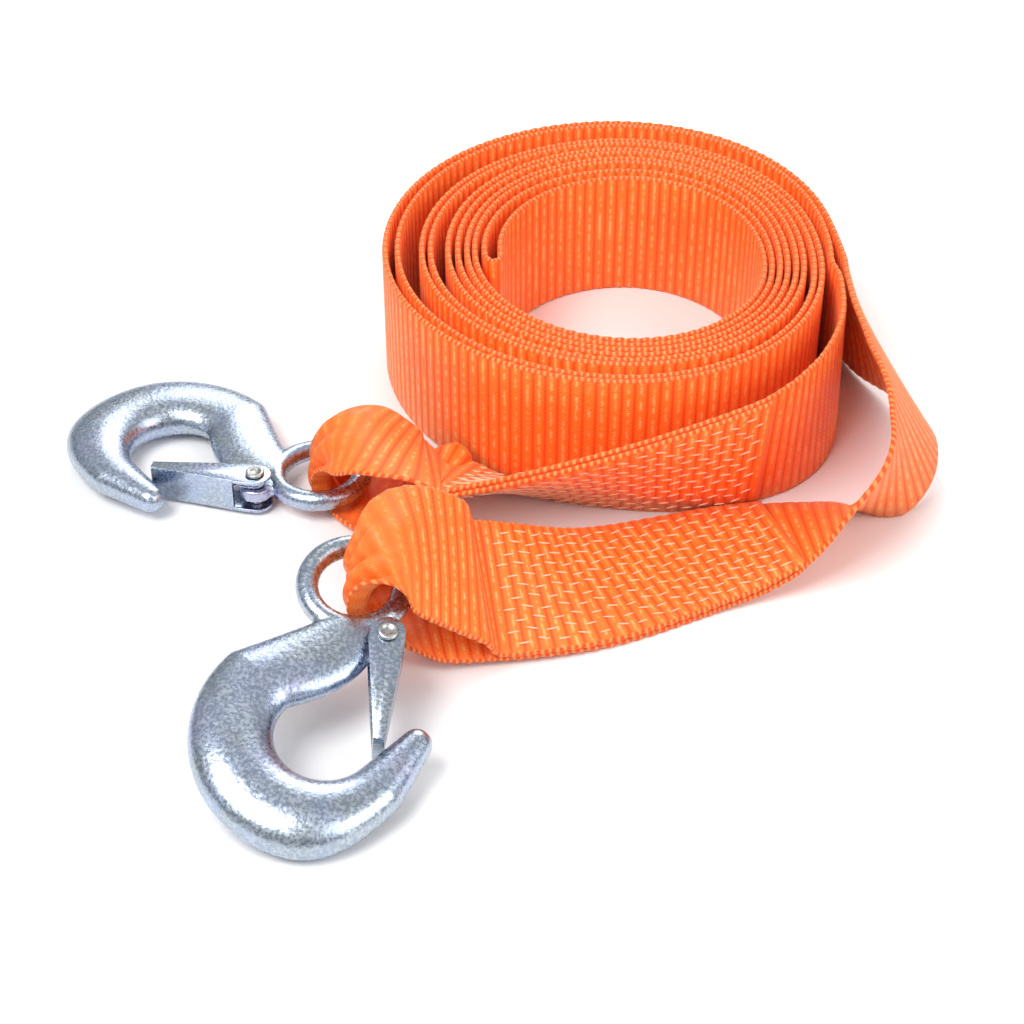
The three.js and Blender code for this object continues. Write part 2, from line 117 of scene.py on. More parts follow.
# Rows of a loop: place from the eye's centre, direction across, gathering
LOOP_A = (
    ((36.5, -10.5, 14.2), (0.04, -0.95, 0.31), 0.02),
    ((27, -8, 17.6), (0.02, -0.98, 0.16), 0.08),
    ((18, -5, 20), (0, -1, 0.04), 0.2),
    ((9.5, -2.5, 18.6), (0, -1, 0), 0.42),
    ((3, -0.8, 13), (0, -1, 0), 0.78),
    ((0, 0, 5), (0, -1, 0), 1),
    ((0.2, 0, -1), (0, -1, 0), 1),
    ((2.2, -0.2, -4.7), (0, -1, 0), 0.97),
    ((6.5, -0.8, -6.1), (0, -1, 0), 0.86),
    ((12, -2.6, -6.3), (0, -1, 0), 0.55),
    ((19, -5, -6.4), (0, -1, 0), 0.3),
    ((29, -8, -5.2), (0.02, -1, 0.04), 0.12),
    ((38, -10, 0.6), (0.03, -0.99, 0.14), 0.03),
)
LOOP_B = (
    ((28, 15.5, -15.6), (0.14, -0.87, -0.45), 0.03),
    ((18, 13, -14.8), (0.1, -0.9, -0.42), 0.12),
    ((9, 9, -13), (0.06, -0.93, -0.36), 0.42),
    ((2.4, 3.6, -9), (0.02, -0.95, -0.3), 0.84),
    ((0, -0.7, -1.7), (0, -0.965, -0.26), 1),
    ((0.6, -1.6, 6), (0, -0.965, -0.25), 1),
    ((4.2, -0.8, 11.4), (0, -0.96, -0.27), 0.84),
    ((11, 2.2, 13.6), (0.02, -0.95, -0.3), 0.36),
    ((20, 6, 9.6), (0.05, -0.93, -0.36), 0.1),
    ((29, 10, 2.2), (0.1, -0.9, -0.42), 0.03),
    ((37, 14, -6.6), (0.15, -0.87, -0.45), 0.01),
)

# Where each hook's eye lies and how the hook is turned there, in degrees
HOOK_PLACES = {
    "a": ((-111.5, -84.0, 8.0), (0.0, 0.0, 173.0)),
    "b": ((-93.0, -170.5, 30.2765), (-5.5, 16.5, -90.0)),
}

# Hook, in its own plane: x from the eye to the bowl, y towards the point
EYE_RADIUS = 14.8
EYE_BAR = 3.6
BOWL_PLACE = (53.5, -6.5)
BOWL_RADIUS = 15.0
BODY = (25.0, 16.0)
SHANK_THICKNESS = 12.0
POINT_TURN = 45.0
NECK_TURN = 222.0
NECK_OFFSETS = (-12.5, 9.0)
NECK_FILLET = 16.0
POINT_ROOT = (16.5, 12.0)
POINT_END = (9.5, 9.0)
POINT_LENGTH = 23.0
PIVOT = (20.0, 10.5)
LUG_RADIUS = 5.6
LUG_THICKNESS = 4.4
LATCH_HEAD = 5.4
LATCH_INSIDE = 10.4
LATCH_SHEET = 1.2
LATCH_LEAN = 3.6
PIN_RADIUS = 2.0
PIN_CLEARANCE = 0.3
SPRING_WIRE = 0.9
SPRING_TURNS = 1.5
SPRING_RADIUS = 3.1
SPRING_GAP = 0.3
SPRING_LATCH_LEG = 11.0
SPRING_NECK_LEG = 6.5

# How the webbing gathers in a loop: its width there, its arch and its folds
GATHERED_WIDTH = 17.5
LOOP_ARCH = 7.5
FOLD_DEPTH = 3.1
CREASE_DEPTH = 0.5
FLOOR_ROOM = 0.24
EASING_ROWS = 9

# Sewing: width that the rows take, margins at both ends, and the zigzag
SEWN_WIDTH = 41.0
SEWN_MARGINS = (5.0, 4.0)
ZIGZAG = 0.5
ZIGZAG_LEAN = 0.17

# Camera, from the middle of the coil
CAMERA_PLACE = (-44.66, -666.3, 446.6)
CAMERA_TILT = 52.0
CAMERA_LENS = 73.83


def length_of(name, description, default):
    return bpy.props.FloatProperty(
        name=name, description=description, default=default, precision=5, unit="LENGTH")


def colour_of(name, description, default):
    return bpy.props.FloatVectorProperty(
        name=name, description=description, default=default, size=3,
        subtype="COLOR", min=0, max=1)


class WebbingSettings(bpy.types.PropertyGroup):
    width: length_of("Width", "Width of the webbing", 0.05)
    thickness: length_of("Thickness", "Thickness between the ribs' grooves", 0.00175)
    rib_pitch: length_of("Rib pitch", "Distance from one woven rib to the next", 0.0043)
    rib_height: length_of("Rib height", "How far a rib stands over its groove", 0.0002)
    selvedge_beat: length_of(
        "Selvedge beat", "How far the edge swells at each weft turn", 0.00022)
    colour: colour_of("Yarn colour", "Colour of the woven yarn", (1.0, 0.19, 0.018))
    # Painted shade: the darker colour given to the grooves between two ribs, where shade
    # falls
    groove_shade_colour: colour_of(
        "Groove colour", "Colour down between two ribs", (0.86, 0.085, 0.006))
    # Painted highlight: the pale colour laid along the top of each rib
    crest_highlight_colour: colour_of("Crest colour", "Colour on top of a rib", (1.0, 0.48, 0.17))


class StitchSettings(bpy.types.PropertyGroup):
    rows: bpy.props.IntProperty(
        name="Rows", description="Rows of stitches across the webbing", default=11)
    length: length_of("Stitch length", "Length of one stitch", 0.0046)
    gap: length_of("Stitch gap", "Distance between two stitches of a row", 0.0013)
    thread: length_of("Thread", "Diameter of the thread", 0.00056)
    colour: colour_of("Thread colour", "Colour of the thread", (1.0, 0.6, 0.42))


class HardwareSettings(bpy.types.PropertyGroup):
    skin: length_of(
        "Forging skin", "Finest form kept where the hook's parts blend", 0.0007)
    zinc: colour_of("Zinc colour", "Colour of the zinc plate", (0.34, 0.4, 0.47))
    grain: length_of("Grain size", "Size of the forged grain", 0.0011)


class StudioSettings(bpy.types.PropertyGroup):
    floor_colour: colour_of("Floor colour", "Colour of the plain floor", (0.9, 0.9, 0.9))
    key_power: bpy.props.FloatProperty(
        name="Key light", description="Power of the main soft light",
        default=15.0, unit="POWER")


def unit(vectors):
    """Vectors along the last axis, made one long."""
    return vectors / np.linalg.norm(vectors, axis=-1, keepdims=True)


def mix(a, b, t):
    return a + (b - a) * t


def smooth_step(a, b, x):
    t = np.clip((x - a) / (b - a), 0.0, 1.0)
    return t * t * (3 - 2 * t)


def at_turn(degrees, column):
    quarter = degrees / 90
    first = math.floor(quarter)
    last = len(QUARTER_TURNS) - 1
    p0, p1, p2, p3 = (
        QUARTER_TURNS[min(max(first + k, 0), last), column] for k in (-1, 0, 1, 2))
    t = quarter - first
    bend = (2 * p0 - 5 * p1 + 4 * p2 - p3) * t * t + (3 * p1 - p0 - 3 * p2 + p3) * t ** 3
    return (2 * p1 + (p2 - p0) * t + bend) / 2


def coil_point(degrees, side):
    spread = max(at_turn(degrees, 1), (ROUTE_THICKNESS + LAYER_GAP) / 2)
    radius = at_turn(degrees, 0) + side * spread
    angle = math.pi - math.radians(degrees)
    return np.array((radius * math.cos(angle), radius * math.sin(angle), 25.0))


def station(centre, across, gather=0.0):
    """One row of a route: centre, direction across and gathering."""
    return np.concatenate((centre, across, (gather,)))


def coil_layer(side, exit_degrees):
    turns = np.arange(FOLD_START, exit_degrees + 0.001, COIL_STEP)
    return [station(coil_point(turn, side), UP) for turn in turns]


def inner_fold():
    a = coil_point(FOLD_START, -1)
    b = coil_point(FOLD_START, 1)
    middle = (a + b) / 2
    rows = []
    for degrees in (30, 60, 90, 120, 150):
        turn = np.array(Matrix.Rotation(-math.radians(degrees), 3, "Z"))
        rows.append(station(middle + turn @ (a - middle), UP))
    return rows


def spline_through(rows, samples):
    """A centripetal curve through rows, spaced by their first three columns."""
    rows = np.asarray(rows, float)
    steps = np.sqrt(np.linalg.norm(np.diff(rows[:, :3], axis=0), axis=1))
    knots = np.concatenate(((0.0,), np.cumsum(steps)))
    knots = np.concatenate(
        ((2 * knots[0] - knots[1],), knots, (2 * knots[-1] - knots[-2],)))
    padded = np.vstack((2 * rows[0] - rows[1], rows, 2 * rows[-1] - rows[-2]))
    pieces = []
    for i in range(len(rows) - 1):
        p = padded[i:i + 4]
        k = knots[i:i + 4]
        t = np.linspace(k[1], k[2], samples, endpoint=False)[:, None]
        a = [((k[j + 1] - t) * p[j] + (t - k[j]) * p[j + 1]) / (k[j + 1] - k[j])
             for j in range(3)]
        b = [((k[j + 2] - t) * a[j] + (t - k[j]) * a[j + 1]) / (k[j + 2] - k[j])
             for j in range(2)]
        pieces.append(((k[2] - t) * b[0] + (t - k[1]) * b[1]) / (k[2] - k[1]))
    pieces.append(rows[-1:])
    return np.vstack(pieces)


def between(rows, per_step):
    """Stations along a strap end, from its two edges."""
    tops = spline_through([row[0] for row in rows], per_step)
    bottoms = spline_through([row[1] for row in rows], per_step)
    return [station((t + b) / 2, unit(t - b)) for t, b in zip(tops, bottoms)]


def frames_along(rows):
    """Along, across and normal directions at each row."""
    rows = np.asarray(rows, float)
    along = unit(np.gradient(rows[:, :3], axis=0))
    across = rows[:, 3:6]
    across = unit(across - along * np.sum(across * along, axis=1, keepdims=True))
    return along, across, np.cross(along, across)


def shifted(rows, normals, distance):
    return [station(row[:3] + n * distance, row[3:6]) for row, n in zip(rows, normals)]


def leaving_sewing(row, along, normal, direction, distance):
    return station(row[:3] + along * direction * SEWING_RELEASE + normal * distance,
                   row[3:6])


def loop_rows(letter, rows):
    eye = np.array(HOOK_PLACES[letter][0])
    return [station(np.array(place) + eye, unit(np.array(across, float)), gather)
            for place, across, gather in rows]


def webbing_route():
    """All rows of the webbing from one sewn tail to the other, and both panels."""
    sewn_a = between(PANEL_A, 2)
    sewn_b = between(PANEL_B, 2)
    main = [
        *sewn_a[::-1],
        *between(STRAP_A, 2)[::-1],
        *coil_layer(-1, INNER_EXIT)[::-1],
        *inner_fold(),
        *coil_layer(1, OUTER_EXIT),
        *between(STRAP_B, 3),
        *sewn_b,
    ]
    along, across, normal = frames_along(main)
    tail_a = shifted(main[:len(sewn_a)], normal[:len(sewn_a)], SEWN_STEP)[::-1]
    tail_b = shifted(main[-len(sewn_b):], normal[-len(sewn_b):], SEWN_STEP)[::-1]
    apart = ROUTE_THICKNESS + LAYER_GAP
    start = (main[0], along[0], normal[0], -1)
    end = (main[-1], along[-1], normal[-1], 1)
    whole = [
        *tail_a,
        leaving_sewing(*start, apart),
        *loop_rows("a", LOOP_A)[::-1],
        leaving_sewing(*start, 0),
        *main,
        leaving_sewing(*end, 0),
        *loop_rows("b", LOOP_B),
        leaving_sewing(*end, apart),
        *tail_b,
    ]
    panels = [
        [rows[part] for rows in (main, along, across, normal)]
        for part in (slice(len(sewn_a)), slice(-len(sewn_b), None))]
    return whole, panels


def even_route(rows, pitch, per_rib):
    """The route as evenly spaced rows, a whole number of ribs long."""
    dense = spline_through(rows, 24)
    place = np.concatenate(
        ((0.0,), np.cumsum(np.linalg.norm(np.diff(dense[:, :3], axis=0), axis=1))))
    ribs = round(place[-1] / pitch)
    wanted = np.linspace(0, place[-1], ribs * per_rib + 1)
    even = np.column_stack(
        [np.interp(wanted, place, dense[:, k]) for k in range(dense.shape[1])])
    weights = np.hanning(2 * EASING_ROWS + 3)[1:-1]
    weights /= weights.sum()
    padded = np.pad(
        even, ((EASING_ROWS, EASING_ROWS), (0, 0)), mode="reflect", reflect_type="odd")
    eased = np.column_stack(
        [np.convolve(padded[:, k], weights, mode="valid") for k in range(even.shape[1])])
    eased[:, 3:6] = unit(eased[:, 3:6])
    return eased, np.arange(len(eased)) / per_rib


def section_columns(count):
    """Places across the webbing, going round its section: share of width, side."""
    face = np.linspace(-0.476, 0.476, count)
    across = np.concatenate((face, (0.498, 0.498), face[::-1], (-0.498, -0.498)))
    side = np.concatenate((np.ones(count), (0.5, -0.5), -np.ones(count), (-0.5, 0.5)))
    on_face = np.concatenate((np.ones(count), (0, 0), np.ones(count), (0, 0)))
    return across, side, on_face


def section_points(route, frames, index, columns, settings):
    """Points of the webbing's section at a run of rows, gathered where it is."""
    across_share, side, on_face = columns
    across, normal = (f[index] for f in frames[1:])
    gather = np.clip(route[index, 6], 0, 1)[:, None]
    width = mix(settings.width / MM, GATHERED_WIDTH, gather)
    phase = np.arange(len(gather))[:, None] * 0.055
    crown = LOOP_ARCH * np.sin(np.pi * gather ** 0.8) ** 1.3
    crown = crown * (0.62 - (2 * across_share) ** 2)
    depth = FOLD_DEPTH * gather ** 1.6
    folds = depth * (np.cos(6.4 * np.pi * across_share + 0.7 * np.sin(phase)) + 0.15)
    creases = CREASE_DEPTH * smooth_step(0.05, 0.6, gather) * np.sin(
        11 * across_share + 2.2 * phase)
    level = folds - crown + creases
    x = across_share * width
    slope = np.gradient(level[:, :len(across_share) // 2 - 2], axis=1)
    run = np.gradient(x[:, :len(across_share) // 2 - 2], axis=1)
    tilt = np.arctan2(slope, run)
    tilt = np.concatenate(
        (tilt, tilt[:, -1:], tilt[:, -1:], tilt[:, ::-1], tilt[:, :1], tilt[:, :1]), axis=1)
    half = settings.thickness / MM / 2 * side
    x = x - np.sin(tilt) * half
    z = level + np.cos(tilt) * half
    points = (route[index, None, :3] + across[:, None] * x[..., None]
              + normal[:, None] * z[..., None])
    lowest = FLOOR_ROOM + np.maximum(side * normal[:, 2:3], 0) * settings.thickness / MM
    points[..., 2] = np.maximum(points[..., 2], lowest)
    lift = (normal[:, None] * np.cos(tilt)[..., None]
            - across[:, None] * np.sin(tilt)[..., None]) * (side * on_face)[:, None]
    beat = across[:, None] * (np.sign(across_share) * (1 - on_face))[:, None]
    plain = smooth_step(0.01, 0.3, gather)
    return points, lift * (1 - 0.85 * plain[..., None]), beat, plain[:, 0]


def bridge(coarse, fine, first_coarse, first_fine, flip):
    """Faces from a row with few columns to a row with many."""
    faces = []
    small = (coarse - 4) // 2
    large = (fine - 4) // 2
    share = (large - 1) // (small - 1)
    pairs = []
    for i in range(small - 1):
        pairs.append((i, i + 1, [i * share + k for k in range(share + 1)]))
    pairs.append((small - 1, small, [large - 1, large]))
    pairs.append((small, small + 1, [large, large + 1]))
    pairs.append((small + 1, small + 2, [large + 1, large + 2]))
    for i in range(small - 1):
        pairs.append((small + 2 + i, small + 3 + i,
                      [large + 2 + i * share + k for k in range(share + 1)]))
    pairs.append((2 * small + 1, 2 * small + 2, [2 * large + 1, 2 * large + 2]))
    pairs.append((2 * small + 2, 2 * small + 3, [2 * large + 2, 2 * large + 3]))
    pairs.append((2 * small + 3, 0, [2 * large + 3, 0]))
    for a, b, run in pairs:
        a, b = a + first_coarse, b + first_coarse
        run = [r + first_fine for r in run]
        half = (len(run) - 1) // 2
        cells = [(a, run[k], run[k + 1]) for k in range(half)]
        cells.append((a, run[half], run[half + 1], b) if len(run) > 1 else (a, run[0], b))
        cells += [(b, run[k], run[k + 1]) for k in range(half + 1, len(run) - 1)]
        faces += [cell[::-1] if flip else cell for cell in cells]
    return faces


def new_piece(name, mesh, material):
    piece = bpy.data.objects.new(name, mesh)
    bpy.context.scene.collection.objects.link(piece)
    if material is not None:
        mesh.materials.append(material)
    return piece


def add_attribute(mesh, name, kind, values):
    layer = mesh.attributes.new(name, kind, "POINT")
    values = np.ascontiguousarray(values, np.float32).ravel()
    layer.data.foreach_set("vector" if kind == "FLOAT_VECTOR" else "value", values)


def outwards(mesh):
    form = bmesh.new()
    form.from_mesh(mesh)
    bmesh.ops.recalc_face_normals(form, faces=form.faces)
    form.to_mesh(mesh)
    form.free()
    mesh.shade_smooth()


def build_webbing_mesh(settings, per_rib=5):
    rows, _ = webbing_route()
    route, ribs = even_route(rows, settings.rib_pitch / MM, per_rib)
    frames = frames_along(route)
    gathered = np.convolve(route[:, 6] > 0.004, np.ones(31), mode="same") > 0
    edges = np.flatnonzero(np.diff(gathered.astype(int))) + 1
    runs = np.split(np.arange(len(route)), edges)
    few, many = section_columns(5), section_columns(25)
    points, lifts, beats, along, across, plain, faces = [], [], [], [], [], [], []
    total = 0
    previous = None
    for run in runs:
        columns = many if gathered[run[0]] else few
        count = len(columns[0])
        p, lift, beat, calm = section_points(route, frames, run, columns, settings)
        first = total + np.arange(len(run) - 1)[:, None] * count
        here = first + np.arange(count)
        ahead = first + (np.arange(count) + 1) % count
        quads = np.stack((here, here + count, ahead + count, ahead), axis=-1)
        faces += [tuple(q) for q in quads.reshape(-1, 4).tolist()]
        if previous is not None:
            last_start, last_count = previous
            if last_count < count:
                faces += bridge(last_count, count, last_start, total, False)
            else:
                faces += bridge(count, last_count, total, last_start, True)
        else:
            faces.append(tuple(range(total, total + count)))
        previous = (total + (len(run) - 1) * count, count)
        points.append(p.reshape(-1, 3))
        lifts.append(lift.reshape(-1, 3))
        beats.append(beat.reshape(-1, 3))
        along.append(np.repeat(ribs[run], count))
        across.append(np.tile(columns[0], len(run)))
        plain.append(np.repeat(calm, count))
        total += len(run) * count
    faces.append(tuple(range(previous[0], previous[0] + previous[1]))[::-1])
    mesh = bpy.data.meshes.new("webbing_woven")
    mesh.from_pydata(((np.vstack(points) + COIL_MIDDLE) * MM).tolist(), [], faces)
    outwards(mesh)
    add_attribute(mesh, "lift", "FLOAT_VECTOR", np.vstack(lifts))
    add_attribute(mesh, "beat", "FLOAT_VECTOR", np.vstack(beats))
    add_attribute(mesh, "along", "FLOAT", np.concatenate(along))
    add_attribute(mesh, "across", "FLOAT", np.concatenate(across))
    add_attribute(mesh, "plain", "FLOAT", np.concatenate(plain))
    length = np.linalg.norm(np.diff(route[:, :3], axis=0), axis=1).sum() * MM
    return mesh, length


class Tree:
    """A node tree under construction."""

    def __init__(self, tree):
        self.tree = tree

    def add(self, kind, inputs=(), **settings):
        node = self.tree.nodes.new(kind)
        for name, value in settings.items():
            setattr(node, name, value)
        for key, value in dict(inputs).items():
            if isinstance(value, bpy.types.NodeSocket):
                self.tree.links.new(value, node.inputs[key])
            else:
                node.inputs[key].default_value = value
        return node

    def math(self, operation, a, b=0.0, c=0.0):
        return self.add("ShaderNodeMath", {0: a, 1: b, 2: c}, operation=operation).outputs[0]

    def smooth(self, value, low, high, start=0.0, end=1.0):
        node = self.add("ShaderNodeMapRange", {
            "Value": value, "From Min": low, "From Max": high,
            "To Min": start, "To Max": end}, interpolation_type="SMOOTHSTEP")
        return node.outputs[0]

    def blend(self, factor, a, b):
        node = self.add("ShaderNodeMix", data_type="RGBA")
        for socket, value in ((node.inputs[0], factor), (node.inputs[6], a),
                              (node.inputs[7], b)):
            if isinstance(value, bpy.types.NodeSocket):
                self.tree.links.new(value, socket)
            else:
                socket.default_value = value
        return node.outputs[2]


def new_geometry_tree(name, sockets):
    tree = bpy.data.node_groups.new(name, "GeometryNodeTree")
    tree.interface.new_socket(
        "Geometry", in_out="INPUT", socket_type="NodeSocketGeometry")
    for label, kind in sockets:
        tree.interface.new_socket(label, in_out="INPUT", socket_type=kind)
    tree.interface.new_socket(
        "Geometry", in_out="OUTPUT", socket_type="NodeSocketGeometry")
    return tree


def finish_tree(made, geometry, material):
    realized = made.add("GeometryNodeRealizeInstances", {"Geometry": geometry})
    painted = made.add("GeometryNodeSetMaterial", {
        "Geometry": realized.outputs[0], "Material": material})
    made.add("NodeGroupOutput", {"Geometry": painted.outputs[0]})


def rib_tree():
    """Raises the ribs and swells the selvedge of a plain woven band."""
    tree = new_geometry_tree("Woven ribs", (
        ("Rib height", "NodeSocketFloat"), ("Groove share", "NodeSocketFloat"),
        ("Selvedge beat", "NodeSocketFloat"), ("Material", "NodeSocketMaterial")))
    made = Tree(tree)
    given = made.add("NodeGroupInput").outputs
    along, lift, beat = (
        made.add("GeometryNodeInputNamedAttribute", {"Name": name}, data_type=kind).outputs[0]
        for name, kind in (("along", "FLOAT"), ("lift", "FLOAT_VECTOR"),
                           ("beat", "FLOAT_VECTOR")))
    phase = made.math("FRACT", made.math("ADD", along, 0.001))
    from_groove = made.math("MINIMUM", phase, made.math("SUBTRACT", 1.0, phase))
    ridge = made.smooth(from_groove, 0.0, given["Groove share"])
    raised = made.add("ShaderNodeVectorMath", {
        0: lift, 3: made.math("MULTIPLY", ridge, given["Rib height"])}, operation="SCALE")
    wave = made.math("SINE", made.math("MULTIPLY", along, 2 * math.pi))
    swollen = made.add("ShaderNodeVectorMath", {
        0: beat, 3: made.math("MULTIPLY", wave, given["Selvedge beat"])}, operation="SCALE")
    offset = made.add("ShaderNodeVectorMath", {
        0: raised.outputs[0], 1: swollen.outputs[0]}, operation="ADD")
    moved = made.add("GeometryNodeSetPosition", {
        "Geometry": given["Geometry"], "Offset": offset.outputs[0]})
    finish_tree(made, moved.outputs[0], given["Material"])
    return tree


def stitch_tree():
    """Lays one stitch on every point, turned as the point says."""
    tree = new_geometry_tree("Stitch rows", (
        ("Stitch length", "NodeSocketFloat"), ("Thread", "NodeSocketFloat"),
        ("Material", "NodeSocketMaterial")))
    made = Tree(tree)
    given = made.add("NodeGroupInput").outputs
    turn = made.add(
        "GeometryNodeInputNamedAttribute", {"Name": "turn"}, data_type="FLOAT_VECTOR")
    thread = made.add("GeometryNodeMeshUVSphere", {
        "Segments": 8, "Rings": 6, "Radius": 0.5})
    size = made.add("ShaderNodeCombineXYZ", {
        "X": given["Stitch length"], "Y": given["Thread"], "Z": given["Thread"]})
    laid = made.add("GeometryNodeInstanceOnPoints", {
        "Points": given["Geometry"], "Instance": thread.outputs[0],
        "Rotation": turn.outputs[0], "Scale": size.outputs[0]})
    finish_tree(made, laid.outputs[0], given["Material"])
    return tree


def run_tree(piece, tree, values):
    """Applies a geometry tree to a piece and leaves a plain mesh."""
    modifier = piece.modifiers.new(tree.name, "NODES")
    modifier.node_group = tree
    for item in tree.interface.items_tree:
        if item.in_out == "INPUT" and item.name in values:
            modifier[item.identifier] = values[item.name]
    settle(piece)


def settle(piece):
    """Makes a piece's modifiers part of its mesh."""
    bpy.context.view_layer.update()
    graph = bpy.context.evaluated_depsgraph_get()
    mesh = bpy.data.meshes.new_from_object(piece.evaluated_get(graph))
    piece.modifiers.clear()
    piece.data = mesh
    return mesh


def new_material(name):
    material = bpy.data.materials.new(name)
    material.use_nodes = True
    material.node_tree.nodes.clear()
    return material, Tree(material.node_tree)


def finish_material(made, shader):
    made.add("ShaderNodeOutputMaterial", {"Surface": shader})


def woven_material(settings):
    """Ribbed polyester: painted shade in the grooves, painted highlight on the crests and
    fine yarns along the strap.
    """
    material, made = new_material("woven orange polyester")
    along, across, plain = (
        made.add("ShaderNodeAttribute", attribute_name=name).outputs["Fac"]
        for name in ("along", "across", "plain"))
    place = made.add("ShaderNodeTexCoord").outputs["Object"]
    phase = made.math("FRACT", along)
    from_groove = made.math("MINIMUM", phase, made.math("SUBTRACT", 1.0, phase))
    ridge = made.smooth(from_groove, 0.01, 0.22)
    ridge = made.math("MAXIMUM", ridge, made.math("MULTIPLY", plain, 0.7))
    # Mask of the painted highlight along the middle of each rib's top
    crest_highlight_mask = made.smooth(from_groove, 0.3, 0.5)
    yarn = made.math("SINE", made.math("MULTIPLY", across, 2 * math.pi * 56))
    twill = made.math("SINE", made.math("ADD", made.math(
        "MULTIPLY", across, 2 * math.pi * 28), made.math("MULTIPLY", along, 4 * math.pi)))
    fine = made.add("ShaderNodeTexNoise", {
        "Vector": place, "Scale": 1400.0, "Detail": 3.0}).outputs["Fac"]
    broad = made.add("ShaderNodeTexNoise", {
        "Vector": place, "Scale": 38.0, "Detail": 2.0}).outputs["Fac"]
    broken = made.smooth(made.add("ShaderNodeTexNoise", {
        "Vector": place, "Scale": 420.0, "Detail": 2.0}).outputs["Fac"], 0.4, 0.62)
    edge = made.smooth(made.math("ABSOLUTE", across), 0.474, 0.49)
    braid = made.smooth(made.math("SINE", made.math(
        "MULTIPLY", along, 4 * math.pi)), -0.4, 0.7)
    # Painted shade: away from the rib tops the colour turns to the darker groove colour
    body = made.blend(ridge, (*settings.groove_shade_colour, 1), (*settings.colour, 1))
    # Painted highlight on the rib crests, broken up by noise and weaker in the gathered loops
    light = made.math("MULTIPLY", crest_highlight_mask, made.math("ADD", 0.05, made.math(
        "MULTIPLY", broken, 0.85)))
    light = made.math("MULTIPLY", light, made.math(
        "SUBTRACT", 1.0, made.math("MULTIPLY", plain, 0.6)))
    body = made.blend(light, body, (*settings.crest_highlight_colour, 1))
    selvedge = made.blend(braid, (0.8, 0.075, 0.006, 1), (1.0, 0.3, 0.06, 1))
    colour = made.blend(edge, body, selvedge)
    shade = made.smooth(broad, 0.3, 0.75, 0.0, 0.22)
    colour = made.blend(shade, colour, (*settings.groove_shade_colour, 1))
    height = made.math("ADD", made.math("MULTIPLY", ridge, 0.5), made.math(
        "ADD", made.math("MULTIPLY", yarn, 0.09), made.math("MULTIPLY", twill, 0.07)))
    height = made.math("ADD", height, made.math("MULTIPLY", fine, 0.22))
    height = made.math("ADD", height, made.math(
        "MULTIPLY", made.math("MULTIPLY", edge, braid), 0.5))
    bump = made.add("ShaderNodeBump", {
        "Strength": 0.75, "Distance": 0.0004, "Height": height})
    rough = made.math("ADD", 0.42, made.math("MULTIPLY", fine, 0.2))
    shader = made.add("ShaderNodeBsdfPrincipled", {
        "Base Color": colour, "Roughness": rough, "Normal": bump.outputs[0]})
    shader.inputs["Sheen Weight"].default_value = 0.35
    shader.inputs["Sheen Roughness"].default_value = 0.4
    shader.inputs["Sheen Tint"].default_value = (1.0, 0.6, 0.35, 1)
    shader.inputs["Specular IOR Level"].default_value = 0.42
    finish_material(made, shader.outputs[0])
    return material


def thread_material(settings):
    material, made = new_material("pale sewing thread")
    place = made.add("ShaderNodeTexCoord").outputs["Object"]
    twist = made.add("ShaderNodeTexNoise", {
        "Vector": place, "Scale": 900.0, "Detail": 2.0}).outputs["Fac"]
    colour = made.blend(twist, (*settings.colour, 1), (1.0, 0.42, 0.24, 1))
    bump = made.add("ShaderNodeBump", {
        "Strength": 0.5, "Distance": 0.0002, "Height": twist})
    shader = made.add("ShaderNodeBsdfPrincipled", {
        "Base Color": colour, "Roughness": 0.5, "Normal": bump.outputs[0]})
    shader.inputs["Sheen Weight"].default_value = 0.3
    finish_material(made, shader.outputs[0])
    return material


def zinc_material(name, settings, grain_depth, roughness, warm=0.0):
    """Bright zinc plate: forged grain, faint blue and violet tints."""
    material, made = new_material(name)
    place = made.add("ShaderNodeTexCoord").outputs["Object"]
    grain = made.add("ShaderNodeTexNoise", {
        "Vector": place, "Scale": 1.0 / settings.grain, "Detail": 4.0,
        "Roughness": 0.6}).outputs["Fac"]
    pits = made.add("ShaderNodeTexVoronoi", {
        "Vector": place, "Scale": 0.55 / settings.grain}).outputs["Distance"]
    tint = made.add("ShaderNodeTexNoise", {
        "Vector": place, "Scale": 55.0, "Detail": 1.0}).outputs["Fac"]
    zinc = (*settings.zinc, 1)
    cool = made.blend(made.smooth(tint, 0.35, 0.65), zinc, (0.36, 0.44, 0.6, 1))
    violet = made.math("MULTIPLY", made.smooth(tint, 0.58, 0.75), 0.35)
    cool = made.blend(violet, cool, (0.46, 0.38, 0.6, 1))
    speckle = made.math("MULTIPLY", made.smooth(grain, 0.35, 0.7), 0.42)
    colour = made.blend(speckle, cool, (0.8, 0.85, 0.9, 1))
    colour = made.blend(warm, colour, (0.62, 0.5, 0.25, 1))
    height = made.math("ADD", grain, made.math("MULTIPLY", pits, 0.35))
    bump = made.add("ShaderNodeBump", {
        "Strength": 0.6, "Distance": grain_depth, "Height": height})
    rough = made.smooth(grain, 0.3, 0.75, roughness - 0.06, roughness + 0.12)
    shader = made.add("ShaderNodeBsdfPrincipled", {
        "Base Color": colour, "Roughness": rough, "Normal": bump.outputs[0]})
    shader.inputs["Metallic"].default_value = 1.0
    finish_material(made, shader.outputs[0])
    return material


